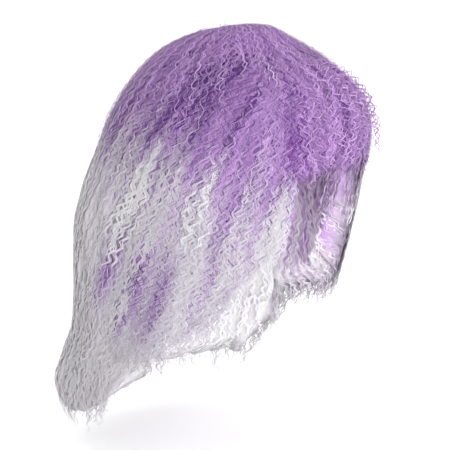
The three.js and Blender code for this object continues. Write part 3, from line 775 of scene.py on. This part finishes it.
add_locks("left_edge_locks", "hair_left", left_fibre, 3.4, left_inner_look, left_ends, (48, 49.4),
          flatness=1.0, seed=35, locks=36, start=(130, 200), depth=(0, 42), early=0.5, **EDGE_LOCKS)
add_locks("left_loose_fibres", "hair_left", left_fibre, 3.4, left_look, raised(left_ends, LOOSE_RISE),
          (50, 134), seed=38, locks=36, stops=30, start=(20, 240), **LOOSE_FIBRES)
add_locks("left_inner_locks", "hair_left", left_fibre, 2.4, left_inner_look,
          raised(left_ends, LEFT_INNER_RISE), (50, 125), seed=33, locks=50, stops=24, start=(200, 250),
          surface=inside_of(left_ends, SIDE_RISE), depth=(-5, -1.5), thick=1.2, shift=40, **INNER_LOCKS)

# Back hair: the crown, the back and the long tail of crimped fibre, mostly grey-white.
# It is sewn to the cap from the crown to the nape edge, and its ends spread a little.
# A small tuft at the whorl closes the crown where all the masses begin.
back_ends = [(125, -338), (138, -398), (160, -416), (180, -418), (215, -416), (225, -402), (235, -356)]
whorl_ends = [(0, 80), (360, 80)]
crown_ends = [(0, 0), (360, 0)]
# The lightness of the pale is painted light and shade by side: lighter behind, darker where the back meets
# the right side.
back_look = {
    "fade": [(0, 130, 260, 0.95, 0.2), (125, 130, 260, 0.95, 0.22), (140, 110, 220, 0.96, 0.1),
             (160, 115, 225, 1.16, 0.06), (200, 115, 225, 1.16, 0.06), (220, 110, 220, 0.83, 0.1),
             (235, 130, 260, 0.88, 0.22), (360, 130, 260, 0.95, 0.2)],
    "patches": [(240.5, 280, 410, 4.0, 1.2, -0.4), (237.5, 170, 310, 4.0, -0.4, 0.35),
                (170, 230, 330, 4.0, 0.35, 0.0), (246, 60, 220, 14.0, 0.2, -0.45),
                (114, 60, 220, 14.0, 0.2, -0.45)],
    "deep": (0.16, 0.06, 0.26), "bright": (0.53, 0.34, 0.63), "pale": (0.66, 0.655, 0.67),
    "crown": (0.43, 0.25, 0.54), "dull": (0.56, 0.54, 0.575)}
back_inner_look = dict(back_look, **INNER_PAINTED_LIGHT_COLOURS,
                       fade=[(120, 220, 360, 1, 0), (170, 220, 360, 1, 0), (200, 220, 360, 0.8, 0)])
WHORL_BACK = 55.0
WHORL_RADIUS = 85.0
BACK_RISE = 40


# The crown fibres turn out of a whorl behind the middle of the cap, and lie forward and aside over the top
def over_crown(turn, fall, depth):
    aside = fall * np.sin(np.radians(turn))
    ahead = fall * np.cos(np.radians(turn)) - WHORL_BACK
    tilt = np.degrees(np.hypot(aside, ahead) / WHORL_RADIUS)
    return skin(np.degrees(np.arctan2(aside, ahead)), tilt * MM_PER_DEGREE, depth)


def swirl(turn, fall):
    return 2.4 * np.exp(-fall / 22)


back_packed = packed_material("back_packed")
back_body = packed_body("back_body", back_look, back_ends, (124.8, 235.2), start=2, columns=60, rows=60,
                        lean=combed_back, rise=BACK_RISE)
add_body(back_body, back_packed, "hair_back", "back_hair")
whorl_body = packed_body("whorl_tuft", back_look, whorl_ends, (0, 360), start=1.5, columns=73, rows=12,
                         short=0, rise=0, cover=3)
add_body(whorl_body, back_packed, "hair_back")
back_lock_fibre = fibre_material("back_lock_fibre", 3.5)
back_fibre = fibre_material("back_fibre", 1.5)
add_locks("crown_locks", "hair_back", back_fibre, 1.8, back_look, crown_ends, (0, 360), seed=71, locks=400,
          fibres=1, stops=24, start=(2, 34), lean=swirl, surface=over_crown, depth=(-1.4, -0.2), ragged=20,
          crimp=(11, 15), swing=3.4, curl=0.35, sway=2, root=3)
for side, seed, turns in (("left", 41, (124, 180)), ("right", 51, (180, 236))):
    add_locks("back_locks_" + side, "hair_back", back_lock_fibre, 2.6, back_look, back_ends, turns, seed=seed,
              locks=56, fibres=1, stops=40, start=(16, 200), lean=combed_back, depth=(0.1, 0.9), streaks=0.05,
              thick=1.6, swing=2.4, bright=0.35)
    add_locks("back_fine_locks_" + side, "hair_back", back_fibre, 2.8, back_look, back_ends, turns,
              seed=seed + 1, locks=102, fibres=3, stops=40, start=(16, 200), lean=combed_back,
              depth=(-0.3, 0.8), streaks=0.05, swing=2.4, thick=0.9, crimp=(15, 19))
for side, seed, turns in (("left", 62, (123.4, 124.6)), ("right", 63, (235.4, 236.6))):
    add_locks("back_edge_locks_" + side, "hair_back", back_fibre, 3.2, back_inner_look,
              raised(back_ends, END_RISE), turns, flatness=1.0, seed=seed, locks=30, start=(330, 400),
              depth=(0, 52), early=0.4, **EDGE_LOCKS)
add_locks("back_loose_fibres", "hair_back", back_fibre, 3.4, back_look, raised(back_ends, LOOSE_RISE),
          (124, 236), seed=64, locks=44, stops=34, start=(20, 300), **LOOSE_FIBRES)
add_locks("back_inner_locks", "hair_back", back_fibre, 2.6, back_inner_look, raised(back_ends, END_RISE),
          (125, 235), seed=61, locks=66, stops=30, start=(262, 300), surface=inside_of(back_ends, BACK_RISE),
          depth=(-6, -1.5), thick=1.3, **INNER_LOCKS)

# Floor, light and camera: a pale sheet under the wig, soft light all round, and the photograph's view.
# Colours are shown as they are, with no film curve. Lengths here are metres.
FLOOR_DROP = 0.012
FLOOR_HALF = 30.0
LIGHT_TARGET = (0.0, 0.02, -0.18)
VIEW_TARGET = np.array([-0.0115, 0.0292, -0.1931])
VIEW_TURN = np.radians(-50.0)
VIEW_RISE = np.radians(12.5)
VIEW_DISTANCE = 1.9
VIEW_WIDTH = 0.486
floor_z = min(cad_box[0][2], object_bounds()[0][2]) - FLOOR_DROP
corners = [(x * FLOOR_HALF, y * FLOOR_HALF, floor_z) for x, y in ((-1, -1), (1, -1), (1, 1), (-1, 1))]
floor_mesh = bpy.data.meshes.new("floor")
floor_mesh.from_pydata(corners, [], [(0, 1, 2, 3)])
floor = bpy.data.objects.new("floor", floor_mesh)
bpy.context.scene.collection.objects.link(floor)
paper, _, paper_shader = new_material("floor_paper")
paper_shader.inputs["Base Color"].default_value = (0.97, 0.97, 0.97, 1)
paper_shader.inputs["Roughness"].default_value = 0.9
floor_mesh.materials.append(paper)
floor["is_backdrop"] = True

bpy.context.scene.view_settings.view_transform = "Standard"
world = bpy.data.worlds.new("studio")
world.use_nodes = True
world.node_tree.nodes["Background"].inputs["Color"].default_value = (1, 1, 1, 1)
world.node_tree.nodes["Background"].inputs["Strength"].default_value = 1.15
bpy.context.scene.world = world


def aim(item, place, target):
    forward = unit(np.array(target) - np.array(place))
    right = unit(np.cross(forward, (0, 0, 1)))
    rows = np.eye(4)
    rows[:3, :3] = np.stack([right, np.cross(right, forward), -forward], 1)
    rows[:3, 3] = place
    item.matrix_world = rows.T.tolist()


def soft_light(name, place, size, watts):
    lamp = bpy.data.lights.new(name, "AREA")
    lamp.size = size
    lamp.energy = watts
    item = bpy.data.objects.new(name, lamp)
    bpy.context.scene.collection.objects.link(item)
    aim(item, place, LIGHT_TARGET)


soft_light("key", (-0.4, -1.9, 0.6), 2.4, 13.5)
soft_light("fill", (-1.1, -1.5, 0.0), 1.0, 16)
soft_light("back", (0.9, 1.7, 0.5), 2.4, 9)
soft_light("side", (1.7, -0.7, 0.1), 1.6, 8)

level = np.cos(VIEW_RISE)
toward = np.array([np.sin(VIEW_TURN) * level, -np.cos(VIEW_TURN) * level, np.sin(VIEW_RISE)])
camera_data = bpy.data.cameras.new("camera")
camera_data.sensor_width = 36.0
camera_data.lens = camera_data.sensor_width * VIEW_DISTANCE / VIEW_WIDTH
camera = bpy.data.objects.new("camera", camera_data)
bpy.context.scene.collection.objects.link(camera)
aim(camera, VIEW_TARGET + toward * VIEW_DISTANCE, VIEW_TARGET)
bpy.context.scene.camera = camera

plain = lambda box: [[float(v) for v in corner] for corner in box]
{"cad": plain(cad_box), "visual": plain(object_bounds())}
